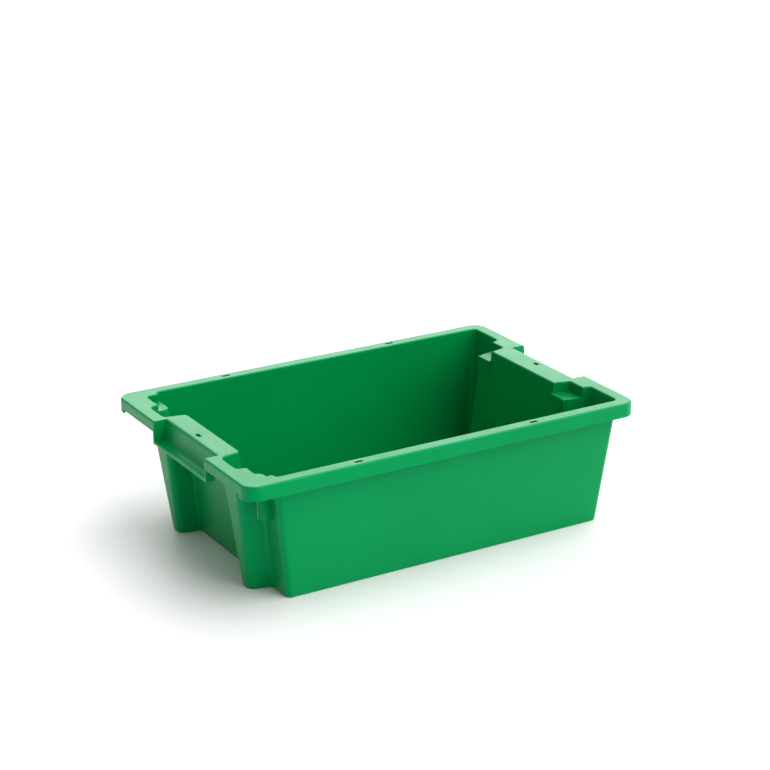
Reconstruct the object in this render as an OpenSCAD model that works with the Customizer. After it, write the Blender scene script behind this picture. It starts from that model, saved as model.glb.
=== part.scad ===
// Stack-and-nest storage crate for the 600 x 400 pallet module.
// The real crate is one rigid injection moulding. Each module below is one region of that moulding, cut
// face to face with its neighbours, so that every wall, seat, rim strip and handle keeps its own name.
// The frame: +X along the length, with the two legs at -X; +Z up; the origin is the middle of the footprint.

/* [Footprint] */
// Length over the rim
rim_length = 600; // [560:1:640]
// Width over the rim
rim_width = 400; // [380:1:440]
// Height of the rim's top face above the ground
crate_height = 180; // [165:1:260]

/* [Wall] */
// Thickness of the walls
wall = 2.8; // [2:0.1:3.5]
// Thickness of the floor and of the rim's flat top
plate = 3; // [2.5:0.1:3.5]
// How far an end wall leans out for each millimetre of height
lean_end = 0.122; // [0.1:0.001:0.13]
// How far a long wall leans out for each millimetre of height
lean_side = 0.085; // [0.06:0.001:0.085]

/* [Foot] */
// Distance from the middle to an end wall's outer face at the ground
end_foot = 261; // [256:0.5:262]
// Distance from the middle to a long wall's outer face at the ground
side_foot = 167.5; // [160:0.5:168]
// Distance from the middle to the left recess wall's outer face at the ground
recess_left_foot = 230; // [226:0.5:232]
// Distance from the middle to the right recess wall's outer face at the ground
recess_right_foot = 225.5; // [220:0.5:228]

/* [Legs and columns] */
// Leg's inner side at the recess wall, at the ground
leg_inner_root = 88; // [86:0.5:90]
// Leg's inner side at the end wall, at the ground
leg_inner_end = 94; // [92:0.5:96]
// Leg's outer side at the end wall, at the ground
leg_outer_end = 118; // [114:0.5:120]
// Leg's outer side at the step wall, at the ground
leg_outer_root = 125; // [122:0.5:126]
// Inner side of a right-hand corner column at the recess wall, at the ground
column_side_root = 114.5; // [113:0.5:118]
// Inner side of a right-hand corner column at the end wall, at the ground
column_side_end = 122; // [120:0.5:124]

/* [Rim] */
// Width of the rim's flat top along the long sides
flange_width = 20; // [18:0.5:22]
// Depth of the rim along the long sides and round the corners
skirt_depth = 20; // [16:0.5:24]
// Depth of the rim across the ends
end_skirt_depth = 15; // [12:0.5:18]
// Radius of the rim's corners, seen from above
rim_corner_r = 20; // [14:0.5:20]
// Distance from the middle to the four slots in the long rims
slot_x = 135; // [100:1:160]
// Length of a slot in a long rim
slot_length = 12; // [8:0.5:16]
// Width of a slot in a long rim
slot_width = 5; // [4.5:0.5:8]

/* [Stacking seats] */
// Depth of the left stacking seats below the rim's top face
seat_left_depth = 10; // [9:0.5:12]
// Depth of the right stacking seats below the rim's top face
seat_right_depth = 15; // [12:0.5:18]
// Distance from the middle to the back of a left seat's pocket
seat_left_back = 266.8; // [262:0.1:268]
// Distance from the long axis to the outer side of a left seat's pocket
seat_left_side = 171; // [168:0.5:173]
// Distance from the middle to the front of a right seat
seat_right_front = 240; // [239:0.5:242]
// Distance from the middle to the back of a right seat's pocket
seat_right_back = 268.2; // [266:0.1:270]
// Depth below the rim's top face of the ribs under the left seats
rib_depth = 69; // [50:1:75]
// Distance from the long axis to the outer face of those ribs
rib_side = 156; // [152:0.5:162]
// Distance from the middle to the free end of those ribs
rib_end = 260; // [256:0.5:263]

/* [Handles] */
// Half the opening's length between a handle's two cheeks
handle_half = 77.2; // [74:0.2:78]
// Distance from the middle to the outer edge of a handle's flat top
handle_edge = 281.2; // [280:0.1:283]
// Depth of the handle's lip below the rim's top face
handle_depth = 33; // [28:0.5:36]
// Radius of the cove between the handle's web and its lip
cove_r = 10; // [8:0.5:12]
// Height of the handle's lip
lip_height = 4; // [3:0.5:6]
// Length of the slot across the top of each handle
handle_slot_length = 11; // [8:0.5:16]
// Width of the slot across the top of each handle
handle_slot_width = 6; // [4.5:0.5:8]

/* [Hidden] */
$fn = 64;

green = [0.02, 0.58, 0.33];
rim_x = rim_length / 2;
rim_y = rim_width / 2;
top_z = crate_height - plate;             // underside of the rim's flat top
left_seat_z = crate_height - seat_left_depth;
under_left_seat = left_seat_z - wall;
right_seat_z = crate_height - seat_right_depth;
under_right_seat = right_seat_z - wall;
skirt_z = crate_height - skirt_depth;
end_skirt_z = crate_height - end_skirt_depth;
lip_z = crate_height - handle_depth;      // lowest edge of the handle's lip
inner_y = rim_y - flange_width;           // inner edge of the long rims
reach = rim_length;                       // longer than anything that it cuts

lean_leg_inner = -0.06;
lean_leg_outer = 0.085;
lean_column = -0.04;

pocket_front_y = 78.6;                    // inner side of a right seat's pocket, at the seat's front
pocket_root_y = 85;                       // the same at the pocket's back
leg_rim_x = 279;                          // rim's inner edge over a leg
column_rim_x = 280;                       // rim's inner edge over a corner column
rib_foot = crate_height - rib_depth;
fin_foot = rib_foot + 4;
fin_gap = 2.3;                            // between a left seat's rib and its fin
fin_thickness = 1.6;
cheek_outer = handle_half + wall;
handle_slot_left_x = -270;
handle_slot_right_x = 268.5;
web_foot_x = handle_edge + 2;             // where a handle's web runs into its cove
web_foot_z = lip_z + lip_height + cove_r;

// Outer faces of the drafted walls, as distances from the middle at height z
function end_x(z) = end_foot + lean_end * z;
function recess_left_x(z) = recess_left_foot + lean_end * z;
function recess_right_x(z) = recess_right_foot + lean_end * z;
function side_y(z) = side_foot + lean_side * z;
function column_root_y(z) = column_side_root + lean_column * z;
function column_end_y(z) = column_side_end + lean_column * z;
function leg_in_root_y(z) = leg_inner_root + lean_leg_inner * z;
function leg_in_end_y(z) = leg_inner_end + lean_leg_inner * z;
function leg_out_end_y(z) = leg_outer_end + lean_leg_outer * z;
function leg_out_root_y(z) = leg_outer_root + lean_leg_outer * z;

// The leg's outer side at a distance x from the middle and a height z
leg_outer_slope = (leg_outer_root - leg_outer_end) / (end_foot - wall - recess_left_foot);
function leg_out_y(x, z) = leg_out_root_y(z) - leg_outer_slope * (x - recess_left_x(z));

// The column's inner side, which faces the recess, in the same way
column_slope = (column_side_end - column_side_root) / (end_foot - recess_right_foot);
function column_y(x, z) = column_root_y(z) + column_slope * (x + wall - recess_right_x(z));

// The inner side of a right seat's pocket at a distance x from the middle
pocket_slope = (pocket_root_y - pocket_front_y) / (seat_right_back - seat_right_front);
function pocket_y(x) = pocket_front_y + pocket_slope * (x - seat_right_front);

// A block between z0 and z1 whose four sides may each lean: every side is a function of height
module drafted(z0, z1, x_lo, x_hi, y_lo, y_hi) {
  intersection() {
    translate([0, reach / 2, 0]) rotate([90, 0, 0]) linear_extrude(reach)
      polygon([[x_lo(z0), z0], [x_hi(z0), z0], [x_hi(z1), z1], [x_lo(z1), z1]]);
    translate([-reach / 2, 0, 0]) rotate([90, 0, 90]) linear_extrude(reach)
      polygon([[y_lo(z0), z0], [y_hi(z0), z0], [y_hi(z1), z1], [y_lo(z1), z1]]);
  }
}

// A prism whose outline moves with height; the outline is a function of height, anticlockwise from above
module leaning_prism(z0, z1, outline) {
  low = outline(z0);
  high = outline(z1);
  n = len(low);
  polyhedron(
    points = concat([for (p = low) [p.x, p.y, z0]], [for (p = high) [p.x, p.y, z1]]),
    faces = concat(
      [[for (i = [0 : n - 1]) i]],
      [[for (i = [n - 1 : -1 : 0]) n + i]],
      [for (i = [0 : n - 1]) [i, n + i, n + (i + 1) % n, (i + 1) % n]]
    )
  );
}

// A flat plate between z0 and z1
module flat(z0, z1, outline) {
  translate([0, 0, z0]) linear_extrude(z1 - z0) polygon(outline);
}

// Its children, and the same on the other side of the long axis
module both_sides() {
  children();
  mirror([0, 1, 0]) children();
}

module far_side() {
  children();
}

module near_side() {
  mirror([0, 1, 0]) children();
}

module right_end() {
  children();
}

module left_end() {
  mirror([1, 0, 0]) children();
}

// ---- Floor ----

module floor_main() {
  color(green)
    drafted(0, plate,
      function(z) -recess_left_x(z) + wall, function(z) recess_right_x(z) - wall,
      function(z) -side_y(z) + wall, function(z) side_y(z) - wall);
}

module floor_legs() {
  color(green) both_sides()
    leaning_prism(0, plate, function(z) [
      [-recess_left_x(z) + wall, leg_in_root_y(z) + wall],
      [-recess_left_x(z) + wall, leg_out_root_y(z) - wall],
      [-end_x(z) + wall, leg_out_end_y(z) - wall],
      [-end_x(z) + wall, leg_in_end_y(z) + wall],
    ]);
}

module floor_columns() {
  color(green) both_sides()
    leaning_prism(0, plate, function(z) [
      [recess_right_x(z) - wall, column_root_y(z) + wall],
      [end_x(z) - wall, column_end_y(z) + wall],
      [end_x(z) - wall, side_y(z) - wall],
      [recess_right_x(z) - wall, side_y(z) - wall],
    ]);
}

// ---- Walls ----

module wall_long() {
  color(green)
    drafted(0, top_z,
      function(z) -recess_left_x(z), function(z) end_x(z),
      function(z) side_y(z) - wall, function(z) side_y(z));
}

module wall_long_far() { far_side() wall_long(); }

module wall_long_near() { near_side() wall_long(); }

module wall_recess_left() {
  color(green)
    drafted(0, top_z,
      function(z) -recess_left_x(z), function(z) -recess_left_x(z) + wall,
      function(z) -leg_in_root_y(z), function(z) leg_in_root_y(z));
}

// The right recess wall is wide up to the seats, and narrows to the handle above them
module wall_recess_right() {
  color(green) {
    drafted(0, under_right_seat,
      function(z) recess_right_x(z) - wall, function(z) recess_right_x(z),
      function(z) -column_root_y(z), function(z) column_root_y(z));
    leaning_prism(under_right_seat, top_z, function(z)
      let (inner = recess_right_x(z) - wall, outer = recess_right_x(z)) [
        [inner, -pocket_y(inner) + wall],
        [outer, -pocket_y(outer) + wall],
        [outer, pocket_y(outer) - wall],
        [inner, pocket_y(inner) - wall],
      ]);
  }
}

module wall_step() {
  color(green)
    drafted(0, under_left_seat,
      function(z) -recess_left_x(z), function(z) -recess_left_x(z) + wall,
      function(z) leg_out_root_y(z), function(z) side_y(z) - wall);
}

module wall_step_far() { far_side() wall_step(); }

module wall_step_near() { near_side() wall_step(); }

// The three sides of a hollow leg, which narrows towards its foot and towards its end wall
module leg_outer() {
  color(green)
    leaning_prism(0, under_left_seat, function(z) [
      [-recess_left_x(z) + wall, leg_out_root_y(z) - wall],
      [-recess_left_x(z) + wall, leg_out_root_y(z)],
      [-recess_left_x(z), leg_out_root_y(z)],
      [-end_x(z) + wall, leg_out_end_y(z)],
      [-end_x(z) + wall, leg_out_end_y(z) - wall],
    ]);
}

module leg_outer_far() { far_side() leg_outer(); }

module leg_outer_near() { near_side() leg_outer(); }

module leg_end() {
  color(green)
    drafted(0, top_z,
      function(z) -end_x(z), function(z) -end_x(z) + wall,
      function(z) leg_in_end_y(z), function(z) leg_out_end_y(z));
}

module leg_end_far() { far_side() leg_end(); }

module leg_end_near() { near_side() leg_end(); }

module leg_inner() {
  color(green)
    leaning_prism(0, top_z, function(z) [
      [-recess_left_x(z), leg_in_root_y(z)],
      [-recess_left_x(z) + wall, leg_in_root_y(z)],
      [-recess_left_x(z) + wall, leg_in_root_y(z) + wall],
      [-end_x(z) + wall, leg_in_end_y(z) + wall],
      [-end_x(z) + wall, leg_in_end_y(z)],
    ]);
}

module leg_inner_far() { far_side() leg_inner(); }

module leg_inner_near() { near_side() leg_inner(); }

// The two right-hand corner columns: the side that faces the recess, and the end
module column_side() {
  color(green)
    leaning_prism(0, under_right_seat, function(z) [
      [recess_right_x(z) - wall, column_root_y(z)],
      [end_x(z) - wall, column_end_y(z)],
      [end_x(z) - wall, column_end_y(z) + wall],
      [recess_right_x(z) - wall, column_root_y(z) + wall],
    ]);
}

module column_side_far() { far_side() column_side(); }

module column_side_near() { near_side() column_side(); }

module column_end() {
  color(green)
    drafted(0, top_z,
      function(z) end_x(z) - wall, function(z) end_x(z),
      function(z) column_end_y(z), function(z) side_y(z) - wall);
}

module column_end_far() { far_side() column_end(); }

module column_end_near() { near_side() column_end(); }

// ---- Stacking seats ----
// Turned half round, the crate above stands with its legs on the right seats and its columns on the left ones

module seat_left() {
  front = recess_left_x(left_seat_z) - wall;
  back = seat_left_back;
  color(green)
    flat(under_left_seat, left_seat_z, [
      [-front, leg_out_root_y(under_left_seat) - wall],
      [-front, seat_left_side],
      [-back, seat_left_side],
      [-back, leg_out_y(back, under_left_seat) - wall],
    ]);
}

module seat_left_far() { far_side() seat_left(); }

module seat_left_near() { near_side() seat_left(); }

module seat_right() {
  front = seat_right_front;
  back = seat_right_back;
  color(green)
    flat(under_right_seat, right_seat_z, [
      [front, pocket_y(front)],
      [back, pocket_y(back)],
      [back, column_y(back, under_right_seat) + wall],
      [front, column_y(front, under_right_seat) + wall],
    ]);
}

module seat_right_far() { far_side() seat_right(); }

module seat_right_near() { near_side() seat_right(); }

// The low walls round a seat, up to the rim's flat top. The left ones carry on the leg's outer side
module pocket_wall_left() {
  front = recess_left_x(left_seat_z) - wall;
  back = seat_left_back;
  foot_y = leg_out_y(back, under_left_seat) - wall / 2;
  color(green) {
    leaning_prism(under_left_seat, top_z, function(z) [
      [-back, leg_out_y(back, z) - wall],
      [-back, leg_out_y(back, z)],
      [-end_x(z) + wall, leg_out_end_y(z)],
      [-end_x(z) + wall, leg_out_end_y(z) - wall],
    ]);
    flat(under_left_seat, top_z, [
      [-front, seat_left_side],
      [-front, seat_left_side + wall],
      [-back - wall, seat_left_side + wall],
      [-back - wall, foot_y],
      [-back, foot_y],
      [-back, seat_left_side],
    ]);
  }
}

module pocket_wall_left_far() { far_side() pocket_wall_left(); }

module pocket_wall_left_near() { near_side() pocket_wall_left(); }

// The right ones carry on the column's inner side
module pocket_wall_right() {
  back = seat_right_back;
  color(green) {
    leaning_prism(under_right_seat, top_z, function(z) let (front = recess_right_x(z) - wall) [
      [front, pocket_y(front) - wall],
      [back, pocket_y(back) - wall],
      [back, pocket_y(back)],
      [front, pocket_y(front)],
    ]);
    flat(under_right_seat, top_z, [
      [back, pocket_y(back) - wall],
      [back + wall, pocket_y(back) - wall],
      [back + wall, column_y(back, under_right_seat) + wall / 2],
      [back, column_y(back, under_right_seat) + wall / 2],
    ]);
    leaning_prism(under_right_seat, top_z, function(z) [
      [back, column_y(back, z)],
      [end_x(z) - wall, column_end_y(z)],
      [end_x(z) - wall, column_end_y(z) + wall],
      [back, column_y(back, z) + wall],
    ]);
  }
}

module pocket_wall_right_far() { far_side() pocket_wall_right(); }

module pocket_wall_right_near() { near_side() pocket_wall_right(); }

// The wedges that bring the right seats forward of the recess wall, running out to nothing below
module seat_wedges() {
  front = seat_right_front;
  recess_in = recess_right_foot - wall;
  wedge_foot = (front - recess_in) / lean_end;
  outer_y = column_y(front, under_right_seat) + wall;
  color(green) both_sides()
    translate([0, outer_y, 0]) rotate([90, 0, 0]) linear_extrude(outer_y - pocket_y(front))
      polygon([
        [front, wedge_foot],
        [recess_in + lean_end * under_right_seat, under_right_seat],
        [front, under_right_seat],
      ]);
}

// The ribs under the left seats, outside the crate, from the step wall towards the end
module seat_ribs() {
  color(green) both_sides()
    drafted(rib_foot, under_left_seat,
      function(z) -rib_end, function(z) -recess_left_x(z),
      function(z) rib_side - wall, function(z) rib_side);
}

// The slender fins beside those ribs, in line with them
module seat_fins() {
  inner = rib_end + fin_gap;
  outer = inner + fin_thickness;
  color(green) both_sides()
    translate([-outer, rib_side - wall, fin_foot])
      cube([fin_thickness, wall, under_left_seat - fin_foot]);
}

// ---- Rim ----

module rim_slot(x, y, length, width) {
  translate([x - length / 2, y - width / 2, top_z - 1]) cube([length, width, plate + 2]);
}

// A long rim's flat top, with both corners and two slots
module rim_top_long() {
  color(green) difference() {
    translate([0, 0, top_z]) linear_extrude(plate) intersection() {
      translate([-rim_x, inner_y]) square([rim_length, flange_width]);
      union() {
        translate([-rim_x + rim_corner_r, 0]) square([rim_length - 2 * rim_corner_r, rim_y]);
        for (x = [-rim_x + rim_corner_r, rim_x - rim_corner_r])
          translate([x, rim_y - rim_corner_r]) circle(rim_corner_r);
      }
    }
    for (x = [-slot_x, slot_x]) rim_slot(x, rim_y - flange_width / 2, slot_length, slot_width);
  }
}

module rim_top_far() { far_side() rim_top_long(); }

module rim_top_near() { near_side() rim_top_long(); }

module rim_top_left() {
  color(green)
    flat(top_z, crate_height, [
      [-rim_x, cheek_outer],
      [-handle_edge, cheek_outer],
      [-handle_edge, leg_in_end_y(top_z) + wall],
      [-leg_rim_x, leg_in_end_y(top_z) + wall],
      [-leg_rim_x, leg_out_y(leg_rim_x, top_z) - wall],
      [-seat_left_back, leg_out_y(seat_left_back, top_z) - wall],
      [-seat_left_back, seat_left_side],
      [-recess_left_x(left_seat_z) + wall, seat_left_side],
      [-recess_left_x(left_seat_z) + wall, inner_y],
      [-rim_x, inner_y],
    ]);
}

module rim_top_left_far() { far_side() rim_top_left(); }

module rim_top_left_near() { near_side() rim_top_left(); }

module rim_top_right() {
  color(green)
    flat(top_z, crate_height, [
      [rim_x, cheek_outer],
      [rim_x, inner_y],
      [column_rim_x, inner_y],
      [column_rim_x, column_y(column_rim_x, top_z) + wall],
      [seat_right_back, column_y(seat_right_back, top_z) + wall],
      [seat_right_back, pocket_root_y],
      [handle_edge, pocket_root_y],
      [handle_edge, cheek_outer],
    ]);
}

module rim_top_right_far() { far_side() rim_top_right(); }

module rim_top_right_near() { near_side() rim_top_right(); }

module skirt_long() {
  color(green)
    translate([-rim_x + rim_corner_r, rim_y - wall, skirt_z])
      cube([rim_length - 2 * rim_corner_r, wall, top_z - skirt_z]);
}

module skirt_far() { far_side() skirt_long(); }

module skirt_near() { near_side() skirt_long(); }

module skirt_corners() {
  color(green) both_sides()
    translate([rim_x - rim_corner_r, rim_y - rim_corner_r, skirt_z])
      rotate_extrude(angle = 90)
        translate([rim_corner_r - wall, 0]) square([wall, top_z - skirt_z]);
}

module skirt_corners_right() { right_end() skirt_corners(); }

module skirt_corners_left() { left_end() skirt_corners(); }

module skirt_ends() {
  color(green) both_sides()
    translate([rim_x - wall, cheek_outer, end_skirt_z])
      cube([wall, rim_y - rim_corner_r - cheek_outer, top_z - end_skirt_z]);
}

module skirt_ends_right() { right_end() skirt_ends(); }

module skirt_ends_left() { left_end() skirt_ends(); }

// ---- Handles ----
// The flat top turns down at its outer edge into a web, then sweeps out in a cove to a lip at the rim's line

module handle_top_left() {
  root_x = recess_left_x(crate_height) - wall;
  root_y = leg_in_root_y(top_z) + wall;
  edge_y = leg_in_end_y(top_z) + wall;
  color(green) difference() {
    flat(top_z, crate_height, [
      [-root_x, root_y],
      [-leg_rim_x, edge_y],
      [-handle_edge, edge_y],
      [-handle_edge, -edge_y],
      [-leg_rim_x, -edge_y],
      [-root_x, -root_y],
    ]);
    rim_slot(handle_slot_left_x, 0, handle_slot_width, handle_slot_length);
  }
}

module handle_top_right() {
  root_x = recess_right_x(crate_height) - wall;
  color(green) difference() {
    flat(top_z, crate_height, [
      [root_x, -pocket_y(root_x)],
      [seat_right_back, -pocket_root_y],
      [handle_edge, -pocket_root_y],
      [handle_edge, pocket_root_y],
      [seat_right_back, pocket_root_y],
      [root_x, pocket_y(root_x)],
    ]);
    rim_slot(handle_slot_right_x, 0, handle_slot_width, handle_slot_length);
  }
}

// Its children's profile, drawn in X and Z, made as long as the handle's opening
module handle_sweep() {
  translate([0, handle_half, 0]) rotate([90, 0, 0]) linear_extrude(2 * handle_half) children();
}

module handle_web() {
  color(green) handle_sweep()
    polygon([
      [handle_edge - wall, top_z],
      [handle_edge, top_z],
      [web_foot_x, web_foot_z],
      [web_foot_x - wall, web_foot_z],
    ]);
}

module handle_web_right() { right_end() handle_web(); }

module handle_web_left() { left_end() handle_web(); }

module handle_lip() {
  color(green) handle_sweep() {
    difference() {
      translate([web_foot_x + cove_r, web_foot_z]) circle(cove_r + wall);
      translate([web_foot_x + cove_r, web_foot_z]) circle(cove_r);
      translate([web_foot_x - reach, web_foot_z]) square(2 * reach);
      translate([web_foot_x + cove_r, web_foot_z - reach]) square(2 * reach);
    }
    translate([web_foot_x + cove_r, lip_z + lip_height - wall])
      square([rim_x - web_foot_x - cove_r, wall]);
    translate([rim_x - wall, lip_z]) square([wall, lip_height]);
  }
}

module handle_lip_right() { right_end() handle_lip(); }

module handle_lip_left() { left_end() handle_lip(); }

module handle_cheeks() {
  color(green) both_sides()
    translate([0, cheek_outer, 0]) rotate([90, 0, 0]) linear_extrude(wall)
      polygon([
        [handle_edge - wall, top_z],
        [rim_x, top_z],
        [rim_x, lip_z],
        [web_foot_x + cove_r / 2, lip_z],
        [web_foot_x - wall, web_foot_z],
      ]);
}

module handle_cheeks_right() { right_end() handle_cheeks(); }

module handle_cheeks_left() { left_end() handle_cheeks(); }

floor_main();
floor_legs();
floor_columns();
wall_long_near();
wall_long_far();
wall_recess_left();
wall_recess_right();
wall_step_near();
wall_step_far();
leg_outer_near();
leg_outer_far();
leg_end_near();
leg_end_far();
leg_inner_near();
leg_inner_far();
column_side_near();
column_side_far();
column_end_near();
column_end_far();
seat_left_near();
seat_left_far();
seat_right_near();
seat_right_far();
pocket_wall_left_near();
pocket_wall_left_far();
pocket_wall_right_near();
pocket_wall_right_far();
seat_wedges();
seat_ribs();
seat_fins();
rim_top_near();
rim_top_far();
rim_top_left_near();
rim_top_left_far();
rim_top_right_near();
rim_top_right_far();
skirt_near();
skirt_far();
skirt_corners_left();
skirt_corners_right();
skirt_ends_left();
skirt_ends_right();
handle_top_left();
handle_top_right();
handle_web_left();
handle_web_right();
handle_lip_left();
handle_lip_right();
handle_cheeks_left();
handle_cheeks_right();
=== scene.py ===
# %% [markdown]
# # A stack-and-nest storage crate
#
# The crate is one thing: a single injection moulding in green polypropylene. Liquid plastic fills the gap
# between a hollow steel mould and the core inside it, so every wall is about as thick as every other, every
# wall leans a little so that the core can be pulled out, and every edge is rounded. This lesson builds it the
# same way round. A solid block stands for the space inside the mould, a smaller block stands for the core, and
# a boolean takes one from the other. Then the rim, the handles and the stacking seats are added.
#
# The CAD model gives the main sizes, and the script reads them from its parts' boxes. The rounds, the slots and
# the handle's finer shape have named values of their own.

import math

import bmesh
import bpy
from mathutils import Matrix, Vector


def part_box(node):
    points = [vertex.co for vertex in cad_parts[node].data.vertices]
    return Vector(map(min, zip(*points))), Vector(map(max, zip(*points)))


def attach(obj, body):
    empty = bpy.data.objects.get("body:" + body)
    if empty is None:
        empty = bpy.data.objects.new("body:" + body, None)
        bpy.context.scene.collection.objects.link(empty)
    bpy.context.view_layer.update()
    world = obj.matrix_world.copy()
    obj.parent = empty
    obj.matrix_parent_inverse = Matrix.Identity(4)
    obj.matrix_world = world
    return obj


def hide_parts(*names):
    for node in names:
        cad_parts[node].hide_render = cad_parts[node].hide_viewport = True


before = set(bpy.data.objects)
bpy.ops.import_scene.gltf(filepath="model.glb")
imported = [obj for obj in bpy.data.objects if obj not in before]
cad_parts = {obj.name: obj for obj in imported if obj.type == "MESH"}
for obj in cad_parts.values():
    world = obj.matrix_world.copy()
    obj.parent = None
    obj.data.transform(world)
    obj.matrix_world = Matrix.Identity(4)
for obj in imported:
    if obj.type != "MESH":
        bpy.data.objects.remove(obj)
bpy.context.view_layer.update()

# %% [markdown]
# ## Camera
#
# A long lens from well back keeps the crate's edges nearly parallel. The camera stands to the left of the near
# long side and looks down into the crate by about twenty degrees, with a very slight roll.

# %% Make the camera
CAMERA_PLACE = Vector((-1.4041, -2.4248, 1.2230))
CAMERA_TURN, CAMERA_TILT = math.radians(-30.36), math.radians(20.076)
CAMERA_ROLL = math.radians(-0.434)
CAMERA_LENS = 101.26

camera = bpy.data.objects.new("camera", bpy.data.cameras.new("camera"))
camera.data.lens = CAMERA_LENS
camera.data.clip_end = 50
turn = Matrix.Rotation(CAMERA_TURN, 4, "Z") @ Matrix.Rotation(math.pi / 2 - CAMERA_TILT, 4, "X")
camera.matrix_world = Matrix.Translation(CAMERA_PLACE) @ turn @ Matrix.Rotation(CAMERA_ROLL, 4, "Z")
bpy.context.scene.collection.objects.link(camera)
bpy.context.scene.camera = camera
print("camera at", [round(c, 3) for c in CAMERA_PLACE], "lens", round(camera.data.lens, 2))

# %% [markdown]
# ## Sizes from the CAD
#
# A leaning wall is straight, so its box holds both ends of its line: the foot at one side of the box and the
# top at the other. Each wall becomes a little function of height, and the outline of the crate can then be
# asked for at any level.

# %% Read the sizes
MM = 0.001


def low(node):
    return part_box(node)[0]


def high(node):
    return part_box(node)[1]


TOP, UNDER_TOP = high("rim_top_near").z, low("rim_top_near").z
FLOOR_TOP = high("floor_main").z
RIM_X, RIM_Y = high("rim_top_near").x, high("rim_top_far").y
WALL = high("skirt_near").y - low("skirt_near").y
LEFT_SEAT, UNDER_LEFT_SEAT = high("seat_left_far").z, low("seat_left_far").z
RIGHT_SEAT, UNDER_RIGHT_SEAT = high("seat_right_far").z, low("seat_right_far").z
print("rim", RIM_X, RIM_Y, "height", TOP, "wall", round(WALL, 5))

# %% The walls as functions of height


def leaning(foot, top, height):
    """A wall's distance from the middle at height z."""
    return lambda z: foot + (top - foot) * z / height


def along(x, x0, y0, x1, y1):
    """Where a straight line through two points passes x."""
    return y0 + (y1 - y0) * (x - x0) / (x1 - x0)


end_x = leaning(WALL - high("leg_end_far").x, -low("leg_end_far").x, UNDER_TOP)
step_x = leaning(WALL - high("wall_recess_left").x, -low("wall_recess_left").x, UNDER_TOP)
recess_x = leaning(low("wall_recess_right").x + WALL, high("wall_recess_right").x, UNDER_TOP)
side_y = leaning(low("wall_long_far").y + WALL, high("wall_long_far").y, UNDER_TOP)
column_root = leaning(high("wall_recess_right").y, low("column_side_far").y, UNDER_RIGHT_SEAT)
column_end = leaning(high("column_side_far").y - WALL, low("column_end_far").y, UNDER_TOP)
leg_in_root = leaning(high("wall_recess_left").y, low("leg_inner_far").y, UNDER_TOP)
leg_in_end = leaning(high("leg_inner_far").y - WALL, low("leg_end_far").y, UNDER_TOP)
leg_out_end = leaning(low("leg_outer_far").y + WALL, high("leg_end_far").y, UNDER_TOP)
leg_out_root = leaning(low("wall_step_far").y, high("leg_outer_far").y, UNDER_LEFT_SEAT)
print("foot", round(end_x(0), 4), round(side_y(0), 4), "mouth", round(end_x(TOP), 4), round(side_y(TOP), 4))

# %% [markdown]
# ## Helpers: a block from an outline, and a boolean
#
# A mould maker starts from a flat outline and gives it height. `tall_block` does the same: one face, extruded,
# with each of the new corners moved to its place on the upper outline. The upright edges are then bevelled,
# each corner with its own radius. `carve` joins or cuts whole solids with Blender's exact boolean, which keeps
# flat faces flat, so that a later bevel still runs cleanly along their edges.

# %% Helpers for blocks
CORNER_STEPS = 5       # faces round an upright corner of the tub
BOX_CORNER_STEPS = 8   # faces round an upright corner of a box, such as the rim's slab, whose corners are wide


def linked(name, bm):
    """A new object in the scene from a finished bmesh."""
    bmesh.ops.recalc_face_normals(bm, faces=bm.faces)
    mesh = bpy.data.meshes.new(name)
    bm.to_mesh(mesh)
    bm.free()
    obj = bpy.data.objects.new(name, mesh)
    bpy.context.scene.collection.objects.link(obj)
    return obj


def round_edges(bm, edges, radius, segments):
    """Bevels some edges to a round of one radius."""
    if edges and radius > 0:
        bmesh.ops.bevel(bm, geom=list(edges), offset=radius, offset_type="OFFSET",
                        segments=segments, profile=0.5, affect="EDGES", clamp_overlap=False, material=-1)


def level_edges(bm, z, slack=0.01 * MM):
    """The edges that lie flat at height z."""
    return [e for e in bm.edges if all(abs(v.co.z - z) < slack for v in e.verts)]


def nearest(points, co):
    """The number of the point nearest to a corner, seen from above."""
    return min(range(len(points)), key=lambda k: (points[k][0] - co.x) ** 2 + (points[k][1] - co.y) ** 2)


def tall_block(outline, z0, z1, radii=None):
    """A block whose outline moves with height: outline(z) gives its corners, radii one radius for each."""
    bm = bmesh.new()
    foot, head = outline(z0), outline(z1)
    face = bm.faces.new([bm.verts.new((x, y, z0)) for x, y in foot])
    grown = bmesh.ops.extrude_face_region(bm, geom=[face])["geom"]
    for v in [g for g in grown if isinstance(g, bmesh.types.BMVert)]:
        v.co = (*head[nearest(foot, v.co)], z1)
    upright = {}
    for e in bm.edges if radii else []:
        a, b = sorted(e.verts, key=lambda v: v.co.z)
        if b.co.z - a.co.z > (z1 - z0) / 2:
            upright.setdefault(radii[nearest(foot, a.co)], []).append(e)
    for radius in sorted(upright, reverse=True):
        round_edges(bm, upright[radius], radius, CORNER_STEPS)
    return bm


def box_block(lo, hi, radius=0.0):
    """A box between two corners, with its upright edges rounded."""
    bm = bmesh.new()
    bmesh.ops.create_cube(bm, size=1.0)
    size = [b - a for a, b in zip(lo, hi)]
    bmesh.ops.scale(bm, vec=size, verts=bm.verts)
    bmesh.ops.translate(bm, vec=[(a + b) / 2 for a, b in zip(lo, hi)], verts=bm.verts)
    upright = [e for e in bm.edges if abs(e.verts[0].co.z - e.verts[1].co.z) > size[2] / 2]
    round_edges(bm, upright, radius, BOX_CORNER_STEPS)
    return bm


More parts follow.
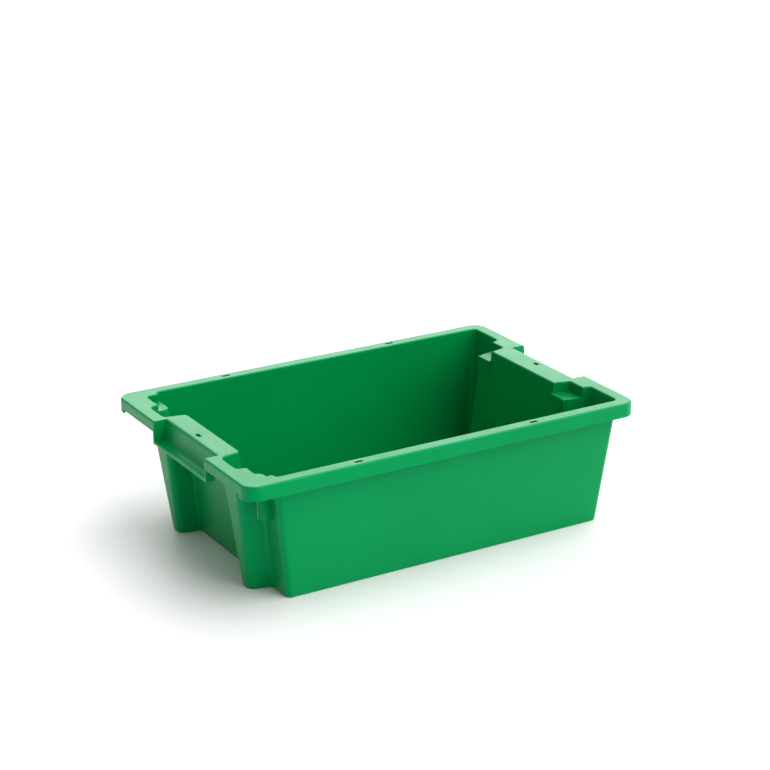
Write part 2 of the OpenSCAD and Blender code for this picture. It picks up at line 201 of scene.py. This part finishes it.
def swept(profile, y0, y1, side=1):
    """A profile in X and Z made long in Y, at the right end (side 1) or the left end (side -1)."""
    bm = bmesh.new()
    face = bm.faces.new([bm.verts.new((side * x, y0, z)) for x, z in profile])
    grown = bmesh.ops.extrude_face_region(bm, geom=[face])["geom"]
    moved = [g for g in grown if isinstance(g, bmesh.types.BMVert)]
    bmesh.ops.translate(bm, vec=(0, y1 - y0, 0), verts=moved)
    return bm


def both_sides(half):
    """A closed outline from its half with y > 0: the same corners, then their mirror images in reverse."""
    return half + [(x, -y) for x, y in reversed(half)]


def mirrored(bm):
    """Adds a block's mirror image across the long axis, as a second solid beside the first."""
    copies = bmesh.ops.duplicate(bm, geom=bm.verts[:] + bm.edges[:] + bm.faces[:])["geom"]
    bmesh.ops.scale(bm, vec=(1, -1, 1), verts=[g for g in copies if isinstance(g, bmesh.types.BMVert)])
    return bm


# %% A helper for booleans


def settle(obj):
    """Applies an object's modifiers to its mesh."""
    bpy.context.view_layer.update()
    shaped = obj.evaluated_get(bpy.context.evaluated_depsgraph_get())
    mesh = bpy.data.meshes.new_from_object(shaped)
    obj.modifiers.clear()
    obj.data = mesh


def carve(target, tools, operation):
    """Joins (UNION), cuts (DIFFERENCE) or trims (INTERSECT) the target with each tool, and removes the tool."""
    for tool in tools:
        step = target.modifiers.new("carve", "BOOLEAN")
        step.solver, step.operation, step.object = "EXACT", operation, tool
        settle(target)
        bpy.data.objects.remove(tool)
    return target


# %% [markdown]
# ## The tub
#
# Seen from above the tub is a rectangle with a bay let into each end. At the left the bay is flanked by two
# hollow legs that stand out past the corners, and at the right by two full corner columns. Turned half round,
# the legs of one crate land on seats in another, and turned the same way it drops inside. The outside and the
# core share one outline, which only moves in by the thickness of the wall.

# %% Outline of the tub
GROW = 2 * MM          # how far a cutting block passes the face that it cuts
OVERLAP = 1 * MM       # how far a block reaches into the one that it is joined to
FOOT_ROUND, FLOOR_ROUND = 2 * MM, 4 * MM


def tub_outline(inset):
    """The tub's outline as a function of height, moved in by inset."""
    return lambda z: both_sides([
        (recess_x(z) - inset, column_root(z) + inset),
        (end_x(z) - inset, column_end(z) + inset),
        (end_x(z) - inset, side_y(z) - inset),
        (-step_x(z) + inset, side_y(z) - inset),
        (-step_x(z) + inset, leg_out_root(z) - inset),
        (-end_x(z) + inset, leg_out_end(z) - inset),
        (-end_x(z) + inset, leg_in_end(z) + inset),
        (-step_x(z) + inset, leg_in_root(z) + inset),
    ])


def in_mm(half):
    """The radii of the corners of half an outline, in mm, made those of the whole of it."""
    return [r * MM for r in half + half[::-1]]


OUTSIDE_RADII = in_mm([5, 8, 9, 8, 6, 9, 9, 4])
CORE_RADII = in_mm([5, 5, 6, 5, 8, 6, 6, 6])


def tub_outside():
    bm = tall_block(tub_outline(0), 0, UNDER_TOP + OVERLAP, OUTSIDE_RADII)
    round_edges(bm, level_edges(bm, 0), FOOT_ROUND, 3)
    return linked("tub_outside", bm)


def tub_core():
    bm = tall_block(tub_outline(WALL), FLOOR_TOP, TOP + GROW, CORE_RADII)
    round_edges(bm, level_edges(bm, FLOOR_TOP), FLOOR_ROUND, 4)
    return linked("tub_core", bm)


outside, core = tub_outside(), tub_core()
print("tub blocks:", len(outside.data.polygons), "and", len(core.data.polygons), "faces")

# %% [markdown]
# ## The rim
#
# The rim is an upturned tray: a flat top 3 mm thick and a skirt that hangs from its edge. It stiffens the open
# mouth and gives the hands and the lid something to hold. A rounded slab, hollowed from below by a smaller
# one, makes both at once. The skirt is shallower across the ends, and both ends are notched for the handles.

# %% Rim slab
RIM_R = 20 * MM
RIM_TOP_ROUND, RIM_FOOT_ROUND, UNDER_RIM_ROUND = 3.2 * MM, 0.7 * MM, 1.5 * MM
CORNER_SKIRT = 24 * MM     # how far the deep part of the skirt runs along each end from its corners
SKIRT_CUT = 8 * MM         # how far in from the end the rest of the skirt is cut shallower
SKIRT_Z, END_SKIRT_Z = low("skirt_near").z, low("skirt_ends_left").z
CHEEK_IN = high("handle_web_left").y
CHEEK_OUT = high("handle_cheeks_left").y
HANDLE_EDGE = high("handle_top_right").x
NOTCH_X = HANDLE_EDGE - 6 * MM     # the notch starts where the handle's top is still flat


def rim_slab():
    bm = box_block((-RIM_X, -RIM_Y, SKIRT_Z), (RIM_X, RIM_Y, TOP), RIM_R)
    round_edges(bm, level_edges(bm, TOP), RIM_TOP_ROUND, 4)
    round_edges(bm, level_edges(bm, SKIRT_Z), RIM_FOOT_ROUND, 2)
    return linked("rim", bm)


def under_rim():
    bm = box_block((-RIM_X + WALL, -RIM_Y + WALL, SKIRT_Z - GROW),
                   (RIM_X - WALL, RIM_Y - WALL, UNDER_TOP), RIM_R - WALL)
    round_edges(bm, level_edges(bm, UNDER_TOP), UNDER_RIM_ROUND, 3)
    return linked("under_rim", bm)


def end_cuts(side):
    """What is cut from one end of the rim: the shallower part of its skirt, and the notch for the handle."""
    left, right = sorted((side * (RIM_X + GROW), side * (RIM_X - SKIRT_CUT)))
    shallow = box_block((left, -RIM_Y + CORNER_SKIRT, SKIRT_Z - GROW),
                        (right, RIM_Y - CORNER_SKIRT, END_SKIRT_Z))
    left, right = sorted((side * (RIM_X + GROW), side * NOTCH_X))
    notch = box_block((left, -CHEEK_IN, SKIRT_Z - GROW), (right, CHEEK_IN, TOP + GROW))
    return [linked("shallow", shallow), linked("notch", notch)]


rim = carve(rim_slab(), [under_rim(), *end_cuts(-1), *end_cuts(1)], "DIFFERENCE")
print("rim:", len(rim.data.polygons), "faces")

# %% [markdown]
# ## The handles
#
# Across the middle of each end the rim changes section. Its flat top rolls over into an upright web, and the
# web sweeps out again in a cove to a lip in line with the rest of the rim. Fingers go up behind it and the
# palm lies in the cove, which ends in a shallow groove along the inside of the lip. One profile, swept
# sideways, is the whole of it: a line with two arcs, out along its upper side and back along its lower side.

# %% Handle profile
ROLL_R = 4 * MM
WEB_FOOT_X, WEB_FOOT_Z = high("handle_web_right").x, low("handle_web_right").z
LIP_Z = low("handle_lip_right").z
LIP_H = 4 * MM
COVE_R = WEB_FOOT_Z - LIP_Z - LIP_H
WEB_LEAN = 4                                       # degrees from upright
HANDLE_ROOT = NOTCH_X - 4 * MM
LIP_EDGE, GROOVE = 0.8 * MM, 1.5 * MM              # the round on the lip's edges, the depth of its groove
BEAD, BEAD_FOOT = 2.8 * MM, 3.6 * MM               # where the lip's bead ends, in from the rim's end


def arc(cx, cz, radius, start, end, steps):
    """Points of an arc in X and Z, in degrees from +X towards +Z."""
    turns = [math.radians(start + (end - start) * k / steps) for k in range(steps + 1)]
    return [(cx + radius * math.cos(a), cz + radius * math.sin(a)) for a in turns]


def handle_profile():
    """The corners of the handle's section at the right end: out along the top, and back underneath."""
    lip_top = LIP_Z + LIP_H
    upper = [(HANDLE_ROOT, TOP)]
    upper += arc(HANDLE_EDGE - ROLL_R, TOP - ROLL_R, ROLL_R, 90, WEB_LEAN, 5)
    upper += arc(WEB_FOOT_X + COVE_R, WEB_FOOT_Z - GROOVE, COVE_R, 180 + WEB_LEAN, 270, 6)
    upper += [(RIM_X - BEAD_FOOT, lip_top - GROOVE), (RIM_X - BEAD, lip_top)]
    upper += arc(RIM_X - LIP_EDGE, lip_top - LIP_EDGE, LIP_EDGE, 90, 0, 2)
    lower = arc(RIM_X - LIP_EDGE, LIP_Z + LIP_EDGE, LIP_EDGE, 0, -90, 2)
    lower += [(RIM_X - WALL, LIP_Z), (RIM_X - WALL, lip_top - WALL)]
    lower += arc(WEB_FOOT_X + COVE_R, WEB_FOOT_Z, COVE_R + WALL, 270, 180 + WEB_LEAN, 6)
    lower += arc(HANDLE_EDGE - ROLL_R, TOP - ROLL_R, ROLL_R - WALL, WEB_LEAN, 90, 5)
    return upper + lower + [(HANDLE_ROOT, TOP - WALL)]


def handle_sheet(side):
    """The handle's roll, web, cove and lip, swept from cheek to cheek."""
    return linked("handle_sheet", swept(handle_profile(), -CHEEK_IN - OVERLAP, CHEEK_IN + OVERLAP, side))


def cheeks(side):
    """The two upright plates that close the ends of a handle."""
    head = UNDER_TOP + OVERLAP / 2
    profile = [(HANDLE_EDGE - WALL, head), (RIM_X, head), (RIM_X, LIP_Z),
               (WEB_FOOT_X + COVE_R / 2, LIP_Z), (WEB_FOOT_X - WALL, WEB_FOOT_Z)]
    return linked("cheeks", mirrored(swept(profile, CHEEK_IN, CHEEK_OUT, side)))


handles = [part(side) for side in (-1, 1) for part in (handle_sheet, cheeks)]
print("handle parts:", [len(h.data.polygons) for h in handles])

# %% [markdown]
# ## Left stacking seats
#
# A small tray fills the corner between each left leg and the long wall, and the foot of a corner column of the
# crate above stands in it. A rib under the tray stiffens it, and a slender fin hangs beside the rib. Each is a
# plain block here, and the cut for the pocket above the tray comes later.

# %% Left seats from outside
LEFT_BACK, LEFT_SIDE = -low("seat_left_far").x, high("seat_left_far").y
RIB_END, RIB_SIDE, RIB_Z = -low("seat_ribs").x, high("seat_ribs").y, low("seat_ribs").z
FIN_IN, FIN_OUT, FIN_Z = -high("seat_fins").x, -low("seat_fins").x, low("seat_fins").z
RIB_ROUND, FIN_ROUND = 3 * MM, 0.5 * MM


def leg_outer(x, z):
    """The leg's outer side at a distance x from the middle."""
    return along(x, step_x(z), leg_out_root(z), end_x(z) - WALL, leg_out_end(z))


def hanging_plate(x_in, x_out, foot, corner):
    """A plate as thick as the wall, hung under the tray, with its lower outer corner rounded."""
    head, slack = LEFT_SEAT - WALL / 2, 0.1 * MM
    bm = swept([(x_in, foot), (x_out, foot), (x_out, head), (x_in, head)], RIB_SIDE - WALL, RIB_SIDE, -1)
    lower = [e for e in bm.edges
             if all(v.co.x < -x_out + slack and v.co.z < foot + slack for v in e.verts)]
    round_edges(bm, lower, corner, 5)
    return bm


def left_tray_outline(z):
    """The tray's outside, which reaches half a wall into the tub and the leg."""
    join = WALL / 2
    outer_x, outer_y = LEFT_BACK + WALL, LEFT_SIDE + WALL
    return [(-step_x(z) + join, leg_outer(step_x(z), z) - join), (-step_x(z) + join, outer_y),
            (-outer_x, outer_y), (-outer_x, leg_outer(outer_x, z) - join)]


def left_seat_parts():
    tray = tall_block(left_tray_outline, UNDER_LEFT_SEAT, UNDER_TOP + OVERLAP / 2)
    rib = hanging_plate(step_x(RIB_Z) - WALL / 2, RIB_END, RIB_Z, RIB_ROUND)
    fin = hanging_plate(FIN_IN, FIN_OUT, FIN_Z, FIN_ROUND)
    return [linked("left_seat", mirrored(bm)) for bm in (tray, rib, fin)]


print("left seat:", round(LEFT_SEAT, 4), "rib foot:", round(RIB_Z, 4), "fin foot:", round(FIN_Z, 4))

# %% [markdown]
# ## Right stacking seats
#
# The right seats are ledges beside the handle, a little lower than the left ones, for the feet of the legs.
# The wall of the bay swells forward below each ledge and runs out to nothing. The swelling is a wedge, joined
# on after the core has been cut, because it stands inside the core's space.

# %% Right seats
FRONT, RIGHT_BACK = low("seat_right_far").x, high("seat_right_far").x


def pocket_side(x):
    """The pocket's side towards the handle."""
    return along(x, FRONT, low("seat_right_far").y, RIGHT_BACK, high("handle_top_right").y)


def column_side(x, z):
    """The column's inner side, seen from the bay."""
    return along(x, recess_x(z) - WALL, column_root(z), end_x(z) - WALL, column_end(z))


def right_seat_outline(z):
    """The ledge's block, which reaches half a wall into the wall of the bay and the column."""
    join, front, back = WALL / 2, recess_x(z) - WALL / 2, RIGHT_BACK + WALL
    return [(front, pocket_side(recess_x(z)) - WALL), (back, pocket_side(back) - WALL),
            (back, column_side(back, z) + join), (front, column_side(recess_x(z), z) + join)]


def right_seat_parts():
    block = tall_block(right_seat_outline, UNDER_RIGHT_SEAT, UNDER_TOP + OVERLAP / 2)
    return [linked("right_seat", mirrored(block))]


def wedge_parts():
    foot, top = low("seat_wedges").z, RIGHT_SEAT + OVERLAP
    profile = [(FRONT, foot), (recess_x(foot) - WALL / 2, foot), (recess_x(top) - WALL / 2, top), (FRONT, top)]
    y0, y1 = pocket_side(FRONT), column_side(FRONT, RIGHT_SEAT) + WALL
    return [linked("wedge", mirrored(swept(profile, y0, y1)))]


print("right seat:", round(RIGHT_SEAT, 4), "from", round(FRONT, 4), "to", round(RIGHT_BACK, 4))

# %% [markdown]
# ## Pockets and slots
#
# The space above each seat is open to the mouth of the crate, so the rim has a nick at each seat. Four small
# slots in the long rims and one in each handle take a lid's clips or a seal tie. Under each slot a wider cut
# thins the plastic, so that the slot's edge is fine.

# %% Pockets over the seats
INWARD = 10 * MM        # how far a pocket's cut reaches into the mouth of the crate
LEFT_POCKET_R, RIGHT_POCKET_R = 5 * MM, 3 * MM


def left_pocket_outline(z):
    side = leg_outer(LEFT_BACK, z) - 2 * WALL
    return [(-step_x(z) + INWARD, side), (-step_x(z) + INWARD, LEFT_SIDE),
            (-LEFT_BACK, LEFT_SIDE), (-LEFT_BACK, side)]


def right_pocket_outline(z):
    front = FRONT - INWARD
    return [(front, pocket_side(front)), (RIGHT_BACK, pocket_side(RIGHT_BACK)),
            (RIGHT_BACK, column_side(RIGHT_BACK, z) + WALL),
            (RIGHT_BACK, column_side(RIGHT_BACK, z) + 2 * WALL),
            (front, column_side(FRONT, z) + 2 * WALL)]


def pocket_cuts():
    left = tall_block(left_pocket_outline, LEFT_SEAT, TOP + GROW, [0, 0, LEFT_POCKET_R, 0])
    right = tall_block(right_pocket_outline, RIGHT_SEAT, TOP + GROW, [0, RIGHT_POCKET_R, 0, 0, 0])
    return [linked("pocket", mirrored(bm)) for bm in (left, right)]


print("pockets:", round(TOP - LEFT_SEAT, 4), "and", round(TOP - RIGHT_SEAT, 4), "deep")

# %% Slots in the rim and the handles
RIM_SLOT, HANDLE_SLOT = (12 * MM, 5 * MM), (6 * MM, 11 * MM)     # length along X, width along Y
RIM_SLOT_X, RIM_SLOT_Y = 135 * MM, RIM_Y - 10 * MM
HANDLE_SLOTS_X = (-270 * MM, 268.5 * MM)
SLOT_R = 0.8 * MM
UNDERCUT, SLOT_EDGE = 2.5 * MM, 0.7 * MM                         # how much wider, and what it leaves on top


def slot_cut(x, y, length, width, margin=0.0, head=TOP + GROW):
    grow_x, grow_y = length / 2 + margin, width / 2 + margin
    bm = box_block((x - grow_x, y - grow_y, UNDER_TOP - GROW), (x + grow_x, y + grow_y, head), SLOT_R + margin)
    return linked("slot", mirrored(bm) if y else bm)


def slot_cuts():
    """Each slot, and under it the wider cut."""
    places = [(x, RIM_SLOT_Y, *RIM_SLOT) for x in (-RIM_SLOT_X, RIM_SLOT_X)]
    places += [(x, 0, *HANDLE_SLOT) for x in HANDLE_SLOTS_X]
    undercut = (UNDERCUT, TOP - SLOT_EDGE)
    return [slot_cut(*place, *wider) for place in places for wider in ((), undercut)]


print("slots in mm:", [round(v / MM, 1) for v in RIM_SLOT], [round(v / MM, 1) for v in HANDLE_SLOT])

# %% [markdown]
# ## One moulding
#
# The blocks are joined and the core is taken out. The wedges come after the core, and the pockets after both.

# %% Put the moulding together
crate = carve(rim, [outside, *handles, *left_seat_parts(), *right_seat_parts()], "UNION")
crate = carve(crate, [core], "DIFFERENCE")
crate = carve(crate, wedge_parts(), "UNION")
crate = carve(crate, pocket_cuts(), "DIFFERENCE")
crate.name = "crate"
print("moulding:", len(crate.data.polygons), "faces")

# %% [markdown]
# ## Soft edges
#
# A moulding has no sharp edges, and the line of light along each of them is most of what makes it look like
# plastic. The edges round the mouth get a round of their own, and the seats' edges a smaller one. The slots are
# cut last, so that the rounding doesn't widen them.

# %% Round the mouth and the seats, then cut the slots
MOUTH_ROUND, SEAT_ROUND = 2.2 * MM, 1.5 * MM


def is_crest(edge, z, slack=0.05 * MM):
    """True for a convex edge between a level face at height z and a steep one."""
    if len(edge.link_faces) != 2 or any(abs(v.co.z - z) > slack for v in edge.verts) or not edge.is_convex:
        return False
    up = [f.normal.z > 0.99 for f in edge.link_faces]
    steep = [abs(f.normal.z) < 0.5 for f in edge.link_faces]
    return any(up) and any(steep)


def soften(obj, z, radius, segments, slack=0.02 * MM):
    """Rounds the crests at height z, and says how many edges that was."""
    bm = bmesh.new()
    bm.from_mesh(obj.data)
    bmesh.ops.remove_doubles(bm, verts=bm.verts, dist=slack)
    bmesh.ops.dissolve_degenerate(bm, edges=bm.edges, dist=slack)
    bm.normal_update()
    crests = [e for e in bm.edges if is_crest(e, z)]
    round_edges(bm, crests, radius, segments)
    bm.to_mesh(obj.data)
    bm.free()
    return len(crests)


print("rounded:", soften(crate, TOP, MOUTH_ROUND, 4), soften(crate, LEFT_SEAT, SEAT_ROUND, 3),
      soften(crate, RIGHT_SEAT, SEAT_ROUND, 3))
crate = carve(crate, slot_cuts(), "DIFFERENCE")

# %% [markdown]
# ## Polypropylene
#
# The plastic is coloured right through. Its surface is satin: the mould's steel was lightly textured, so
# reflections are broad and soft. Reflections seen straight on take some of the green, and at a glancing angle
# they go white. A fine grain, a faint unevenness in the gloss and a fainter one in the green keep large faces
# from looking like paint.

# %% Make the plastic
DEEP_GREEN, LIGHT_GREEN = (0.0002, 0.252, 0.056, 1), (0.0004, 0.270, 0.063, 1)
SHINE_TINT = (0.02, 0.92, 0.72, 1)


def green_polypropylene():
    plastic = bpy.data.materials.new("green_polypropylene")
    plastic.use_nodes = True
    nodes, links = plastic.node_tree.nodes, plastic.node_tree.links
    shader = nodes["Principled BSDF"]
    shader.inputs["IOR"].default_value = 1.42
    shader.inputs["Specular IOR Level"].default_value = 0.5
    shader.inputs["Specular Tint"].default_value = SHINE_TINT
    place = nodes.new("ShaderNodeTexCoord").outputs["Object"]

    def noise(scale, detail):
        """A cloud of light and dark, finer for a larger scale."""
        cloud = nodes.new("ShaderNodeTexNoise")
        cloud.inputs["Scale"].default_value = scale
        cloud.inputs["Detail"].default_value = detail
        links.new(place, cloud.inputs["Vector"])
        return cloud.outputs["Fac"]

    def ramp(value, low_end, high_end):
        """The middle of the noise's span, stretched between two values."""
        span = nodes.new("ShaderNodeMapRange")
        span.inputs["From Min"].default_value, span.inputs["From Max"].default_value = 0.3, 0.7
        span.inputs["To Min"].default_value, span.inputs["To Max"].default_value = low_end, high_end
        links.new(value, span.inputs["Value"])
        return span.outputs["Result"]

    tint = nodes.new("ShaderNodeMix")
    tint.data_type = "RGBA"
    tint.inputs["A"].default_value = DEEP_GREEN
    tint.inputs["B"].default_value = LIGHT_GREEN
    links.new(ramp(noise(9, 3), 0, 1), tint.inputs["Factor"])
    links.new(tint.outputs["Result"], shader.inputs["Base Color"])
    links.new(ramp(noise(24, 4), 0.30, 0.38), shader.inputs["Roughness"])
    grain = nodes.new("ShaderNodeBump")
    grain.inputs["Strength"].default_value = 0.10
    grain.inputs["Distance"].default_value = 0.2 * MM
    links.new(noise(1400, 2), grain.inputs["Height"])
    links.new(grain.outputs["Normal"], shader.inputs["Normal"])
    return plastic


plastic = green_polypropylene()
print("material:", plastic.name, len(plastic.node_tree.nodes), "nodes")

# %% [markdown]
# ## Shading
#
# The rounds are only a few faces wide, so they are shaded smooth, and each flat face keeps its own direction.

# %% Smooth the rounds
for face in crate.data.polygons:
    face.use_smooth = True
print("faces to shade:", len(crate.data.polygons))

# %% [markdown]
# ## Named regions
#
# The real crate has no joins. A library part is easier to use when its regions have names, so the finished
# moulding is sliced with a few boxes, like a cake. Every slice is a closed solid, and it meets its neighbours
# on a flat face inside the plastic, where nothing shows.

# %% Slice the moulding
BASE_Z, HANDLE_Z = 12 * MM, 140 * MM
END_X, HANDLE_X, HANDLE_Y = 214 * MM, 246 * MM, CHEEK_OUT + 1.3 * MM
RIGHT_HANDLE_X = HANDLE_X - 8 * MM     # the right bay is deeper, so its handle starts nearer to the middle
FAR = 400 * MM


def region(name, lo, hi, without=None):
    """The part of the moulding between two corners, without what lies in another box."""
    piece = bpy.data.objects.new(name, crate.data.copy())
    bpy.context.scene.collection.objects.link(piece)
    if without:
        carve(piece, [linked("gap", box_block(*without))], "DIFFERENCE")
    carve(piece, [linked("slice", box_block(lo, hi))], "INTERSECT")
    piece.data.name = name
    return piece


left_grip = ((-FAR, -HANDLE_Y, HANDLE_Z), (-HANDLE_X, HANDLE_Y, FAR))
right_grip = ((RIGHT_HANDLE_X, -HANDLE_Y, HANDLE_Z), (FAR, HANDLE_Y, FAR))
pieces = {
    "base": region("base", (-FAR, -FAR, -FAR), (FAR, FAR, BASE_Z)),
    "side_near": region("side_near", (-END_X, -FAR, BASE_Z), (END_X, 0, FAR)),
    "side_far": region("side_far", (-END_X, 0, BASE_Z), (END_X, FAR, FAR)),
    "end_left": region("end_left", (-FAR, -FAR, BASE_Z), (-END_X, FAR, FAR), left_grip),
    "end_right": region("end_right", (END_X, -FAR, BASE_Z), (FAR, FAR, FAR), right_grip),
    "handle_left": region("handle_left", *left_grip),
    "handle_right": region("handle_right", *right_grip),
}
print({name: len(piece.data.polygons) for name, piece in pieces.items()})

# %% Hide the CAD nodes that each region stands for, and give each region its plastic and shading
SHARP = math.radians(38)       # a fold sharper than this shows as an edge
NODE_WORDS = {
    "base": ["floor"],
    "side_near": ["wall_long_near", "rim_top_near", "skirt_near"],
    "side_far": ["wall_long_far", "rim_top_far", "skirt_far"],
    "end_left": ["leg_", "wall_step", "wall_recess_left", "seat_left", "seat_ribs", "seat_fins",
                 "pocket_wall_left", "rim_top_left", "skirt_ends_left", "skirt_corners_left"],
    "end_right": ["column_", "wall_recess_right", "seat_right", "seat_wedges", "pocket_wall_right",
                  "rim_top_right", "skirt_ends_right", "skirt_corners_right"],
    "handle_left": ["handle_top_left", "handle_web_left", "handle_lip_left", "handle_cheeks_left"],
    "handle_right": ["handle_top_right", "handle_web_right", "handle_lip_right", "handle_cheeks_right"],
}
told = 0
for name, piece in pieces.items():
    stands_for = [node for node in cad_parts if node.startswith(tuple(NODE_WORDS[name]))]
    told += len(stands_for)
    piece.data.materials.clear()
    piece.data.materials.append(plastic)
    piece.data.set_sharp_from_angle(angle=SHARP)
    flats = piece.modifiers.new("flat faces stay flat", "WEIGHTED_NORMAL")
    flats.mode, flats.weight, flats.keep_sharp = "FACE_AREA", 60, True
    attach(piece, "root")
    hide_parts(*stands_for)
bpy.data.objects.remove(crate)
print("nodes replaced:", told, "of", len(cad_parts))

# %% [markdown]
# ## Floor and light
#
# A pale floor runs out of sight on every side. The main light comes from high on the right and a little in
# front, and is as soft as a big window, so the left faces of the crate and the inside of its right wall fall
# into shade. A wide sheet of light behind the crate puts the gleam on the rim. The pale surroundings fill in
# the rest, and they are darker towards the left, like a room with its windows on the right.

# %% Make the floor
FLOOR_SIZE, FLOOR_GREY, FLOOR_ROUGHNESS = 8, (0.88, 0.88, 0.88, 1), 0.6


def pale_floor():
    bm = bmesh.new()
    bmesh.ops.create_grid(bm, x_segments=1, y_segments=1, size=FLOOR_SIZE)
    floor = linked("floor", bm)
    paint = bpy.data.materials.new("pale_floor")
    paint.use_nodes = True
    surface = paint.node_tree.nodes["Principled BSDF"]
    surface.inputs["Base Color"].default_value = FLOOR_GREY
    surface.inputs["Roughness"].default_value = FLOOR_ROUGHNESS
    floor.data.materials.append(paint)
    return floor


print("stage:", pale_floor().name)

# %% Make the lamps
MIDDLE = Vector((0, 0, 0.1))       # what both lamps point at
KEY_PLACE, KEY_ANGLE, KEY_STRENGTH = Vector((1.55, -0.95, 2.3)), math.radians(80), math.pi * 0.90
BACKDROP_PLACE, BACKDROP_SIZE, BACKDROP_POWER = Vector((1.4, 3.0, 1.3)), (4.0, 1.8), 52


def lamp(name, kind, place):
    light = bpy.data.objects.new(name, bpy.data.lights.new(name, kind))
    facing = (place - MIDDLE).to_track_quat("Z", "Y").to_matrix().to_4x4()
    light.matrix_world = Matrix.Translation(place) @ facing
    bpy.context.scene.collection.objects.link(light)
    return light


key = lamp("key", "SUN", KEY_PLACE)
key.data.angle, key.data.energy = KEY_ANGLE, KEY_STRENGTH
backdrop = lamp("backdrop", "AREA", BACKDROP_PLACE)
backdrop.data.shape, backdrop.data.energy = "RECTANGLE", BACKDROP_POWER
backdrop.data.size, backdrop.data.size_y = BACKDROP_SIZE
backdrop.visible_camera = False
print("lamps:", key.name, "and", backdrop.name)

# %% Make the surroundings
LEFT_DIM, RIGHT_BRIGHT = 0.32, 0.84        # how bright the room is on the left and on the right
DIM_BELOW, BRIGHT_ABOVE = -0.8, 0.4        # the change lies between these directions along X


def pale_room():
    world = bpy.data.worlds.new("pale_room")
    world.use_nodes = True
    sky, joins = world.node_tree.nodes, world.node_tree.links
    sky["Background"].inputs["Color"].default_value = (1, 1, 1, 1)
    direction = sky.new("ShaderNodeTexCoord").outputs["Generated"]
    split = sky.new("ShaderNodeSeparateXYZ")
    shade = sky.new("ShaderNodeMapRange")
    shade.inputs["From Min"].default_value, shade.inputs["From Max"].default_value = DIM_BELOW, BRIGHT_ABOVE
    shade.inputs["To Min"].default_value, shade.inputs["To Max"].default_value = LEFT_DIM, RIGHT_BRIGHT
    joins.new(direction, split.inputs["Vector"])
    joins.new(split.outputs["X"], shade.inputs["Value"])
    joins.new(shade.outputs["Result"], sky["Background"].inputs["Strength"])
    return world


bpy.context.scene.world = pale_room()
bpy.context.scene.view_settings.view_transform = "Standard"
bpy.context.scene.view_settings.exposure = 0.0
print("surroundings:", bpy.context.scene.world.name)
